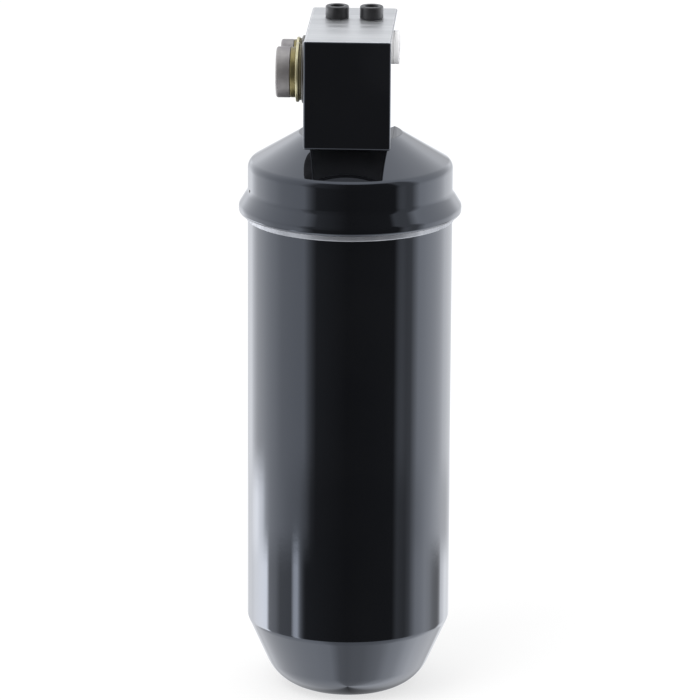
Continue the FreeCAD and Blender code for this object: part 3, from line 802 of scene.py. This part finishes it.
# What the gloss shows of the studio all round: azimuth in degrees from the camera's side
# towards +X, and the brightness there, in five layers from high to low.
HIGH = [
    (-180, 1.0), (-168, 1.0), (-158, 2.3), (-109, 2.3), (-55, 1.8), (-40, 0.4), (0, 0.08), (54, 0.12),
    (60, 0.8), (76, 0.8), (87, 2.5), (140, 2.0), (160, 2.2), (170, 1.0), (180, 1.0),
]
LEVEL = [
    (-180, 1.3), (-176, 1.0), (-160, 1.3), (-143, 2.6), (-125, 2.3), (-111, 2.5), (-90, 2.35), (-80, 2.05),
    (-50, 2.0), (-45, 1.2), (-40, 0.6), (-35, 0.2), (0, 0.08), (54, 0.12), (60, 0.85), (64, 0.95),
    (70, 0.75), (76, 0.8), (87, 2.7), (101, 2.8), (125, 2.6), (136, 2.65), (150, 1.95), (162, 1.4),
    (172, 1.2), (177, 1.5), (180, 1.3),
]
MIDDLE = [
    (-180, 0.9), (-155, 1.5), (-142, 2.6), (-126, 5.4), (-113, 5.4), (-106, 3.2), (-99, 2.5), (-80, 2.1),
    (-71, 1.9), (-55, 1.6), (-47, 1.0), (-41, 0.35), (-35, 0.15), (0, 0.08), (54, 0.12), (60, 0.6),
    (70, 0.5), (76, 0.8), (86, 2.2), (101, 2.8), (116, 2.9), (125, 2.7), (135, 2.3), (148, 1.6), (180, 0.9),
]
LOW = [
    (-180, 0.9), (-155, 1.5), (-139, 2.7), (-124, 5.0), (-113, 7.0), (-105, 8.3), (-100, 1.9), (-89, 1.7),
    (-82, 0.95), (-66, 0.95), (-62, 5.2), (-58, 6.0), (-54, 1.7), (-50, 0.5), (-47, 0.2), (0, 0.08),
    (54, 0.12), (60, 0.6), (70, 0.45), (76, 0.8), (86, 2.5), (101, 2.8), (109, 2.2), (116, 1.35), (122, 1.0),
    (127, 0.9), (131, 1.4), (135, 3.0), (148, 2.8), (160, 1.7), (180, 0.9),
]
UNDERFOOT = [
    (-180, 0.35), (-165, 0.7), (-145, 1.9), (-100, 2.4), (-60, 2.6), (-33, 2.5), (-15, 1.5), (0, 1.35),
    (15, 1.45), (33, 1.5), (65, 2.0), (80, 2.65), (95, 2.8), (106, 3.2), (120, 3.2), (145, 2.0), (165, 0.7),
    (180, 0.35),
]
# Each layer above the lowest one, with the elevations in degrees between which it fades in.
LAYERS = [(LOW, -30, -26), (MIDDLE, -17.8, -17.3), (LEVEL, -17.0, -16.3), (HIGH, -2, 8)]
# The soft box overhead: its brightness, its lean to the back and the cosines where its edge fades.
OVERHEAD = 2.2
OVERHEAD_LEAN = math.radians(10)
OVERHEAD_EDGE = 0.72
OVERHEAD_FULL = 0.83
DIFFUSE_LIGHT = 0.85
STUDIO_TINT = (0.98, 1.0, 1.05)
PAPER_WHITE = (1.0, 1.0, 1.0)


def studio_brightness(tree):
    """The brightness of the studio in the direction of a glossy ray."""
    sums = Sums(tree)
    spot = tree.nodes.new("ShaderNodeTexCoord")
    parts = tree.nodes.new("ShaderNodeSeparateXYZ")
    tree.links.new(spot.outputs["Generated"], parts.inputs["Vector"])
    across, along, up = parts.outputs
    azimuth = sums.math("DEGREES", sums.math("ARCTAN2", across, sums.math("MULTIPLY", along, -1.0)))
    elevation = sums.math("DEGREES", sums.math("ARCSINE", up))
    lean = tree.nodes.new("ShaderNodeVectorMath")
    lean.operation = "DOT_PRODUCT"
    lean.inputs[1].default_value = (0, math.sin(OVERHEAD_LEAN), math.cos(OVERHEAD_LEAN))
    tree.links.new(spot.outputs["Generated"], lean.inputs[0])

    seen = sums.layer(azimuth, UNDERFOOT)
    for stops, start, end in LAYERS:
        seen = sums.blend(seen, sums.layer(azimuth, stops), sums.rise(elevation, start, end))
    return sums.blend(seen, OVERHEAD, sums.rise(lean.outputs["Value"], OVERHEAD_EDGE, OVERHEAD_FULL))


def background(tree, colour, strength):
    node = tree.nodes.new("ShaderNodeBackground")
    node.inputs["Color"].default_value = (*colour, 1)
    tree.links.new(strength, node.inputs["Strength"])
    return node.outputs["Background"]


def make_world():
    """White paper all round, and the studio's layers for the gloss alone."""
    world = bpy.data.worlds.new("studio")
    bpy.context.scene.world = world
    world.use_nodes = True
    world.cycles.sampling_method = "NONE"
    tree = world.node_tree
    tree.nodes.clear()
    sums = Sums(tree)
    rays = tree.nodes.new("ShaderNodeLightPath")
    straight = sums.math("MAXIMUM", rays.outputs["Is Camera Ray"], rays.outputs["Is Transmission Ray"])
    scattered = sums.math("MULTIPLY", sums.math("SUBTRACT", 1.0, straight), DIFFUSE_LIGHT)
    paper = background(tree, PAPER_WHITE, sums.math("ADD", straight, scattered))
    studio = background(tree, STUDIO_TINT, studio_brightness(tree))
    light = tree.nodes.new("ShaderNodeMixShader")
    tree.links.new(rays.outputs["Is Glossy Ray"], light.inputs["Fac"])
    tree.links.new(paper, light.inputs[1])
    tree.links.new(studio, light.inputs[2])
    out = tree.nodes.new("ShaderNodeOutputWorld")
    tree.links.new(light.outputs["Shader"], out.inputs["Surface"])


# Lamps and camera, with places in metres

KEY_PLACE = Vector((-0.7, -0.9, 1.6))
KEY_TARGET = Vector((0, 0, 0))
KEY_SIZE = 1.2
KEY_POWER = 9.0
SIDE_PLACE = Vector((0.25, -1.46, 0.32))
SIDE_CONE = math.radians(1.2)
SIDE_FADE = 0.6
SIDE_SOFTNESS = 0.004
SIDE_POWER = 40.0


def aimed(data, place, target):
    """Places a lamp that looks at the target and that the gloss doesn't show."""
    lamp = bpy.data.objects.new(data.name, data)
    lamp.location = place
    lamp.rotation_mode = "QUATERNION"
    lamp.rotation_quaternion = (place - target).to_track_quat("Z", "Y")
    lamp.visible_glossy = False
    bpy.context.scene.collection.objects.link(lamp)


def make_lamps():
    """A broad soft lamp from above and to the left, and a narrow one on the fusible plug."""
    key = bpy.data.lights.new("key", "AREA")
    key.shape = "DISK"
    key.size = KEY_SIZE
    key.energy = KEY_POWER
    aimed(key, KEY_PLACE, KEY_TARGET)
    side = bpy.data.lights.new("side", "SPOT")
    side.spot_size = SIDE_CONE
    side.spot_blend = SIDE_FADE
    side.shadow_soft_size = SIDE_SOFTNESS
    side.energy = SIDE_POWER
    aimed(side, SIDE_PLACE, centre_of("fusible_plug") * MM)


FRAME_PIXELS = 700
FOCAL_PIXELS = 5000
SENSOR_MM = 36
PITCH = math.radians(15.27)
AZIMUTH = math.radians(2.57)
ROLL = math.radians(0.325)
DISTANCE = 1.868
TARGET_HEIGHT = 0.12997
TARGET_SHIFT = 0.00023
CLIP_START = 0.1
CLIP_END = 50


def make_camera():
    """The photo's view: a long lens, from a little above and slightly to the right."""
    data = bpy.data.cameras.new("view")
    data.sensor_width = SENSOR_MM
    data.lens = FOCAL_PIXELS / FRAME_PIXELS * SENSOR_MM
    data.clip_start = CLIP_START
    data.clip_end = CLIP_END
    level = Vector((math.sin(AZIMUTH), -math.cos(AZIMUTH), 0))
    back = level * math.cos(PITCH) + Vector((0, 0, math.sin(PITCH)))
    right = Vector((math.cos(AZIMUTH), math.sin(AZIMUTH), 0))
    camera = bpy.data.objects.new("view", data)
    camera.location = Vector((0, 0, TARGET_HEIGHT)) + right * TARGET_SHIFT + back * DISTANCE
    turn = Matrix((right, back.cross(right), back)).transposed()
    camera.rotation_mode = "QUATERNION"
    camera.rotation_quaternion = (turn @ Matrix.Rotation(ROLL, 3, "Z")).to_quaternion()
    bpy.context.scene.collection.objects.link(camera)
    bpy.context.scene.camera = camera


make_camera()
make_can()
make_lid()
make_hem()
make_speck()
make_block()
make_spigot()
make_bosses()
make_hole_plugs()
for fitting, fitting_sizes in FITTINGS.items():
    make_fitting(fitting, fitting_sizes)
make_fusible_plug()
dress_hidden_nodes()
make_floor()
make_world()
make_lamps()
bpy.context.scene.view_settings.view_transform = "Standard"
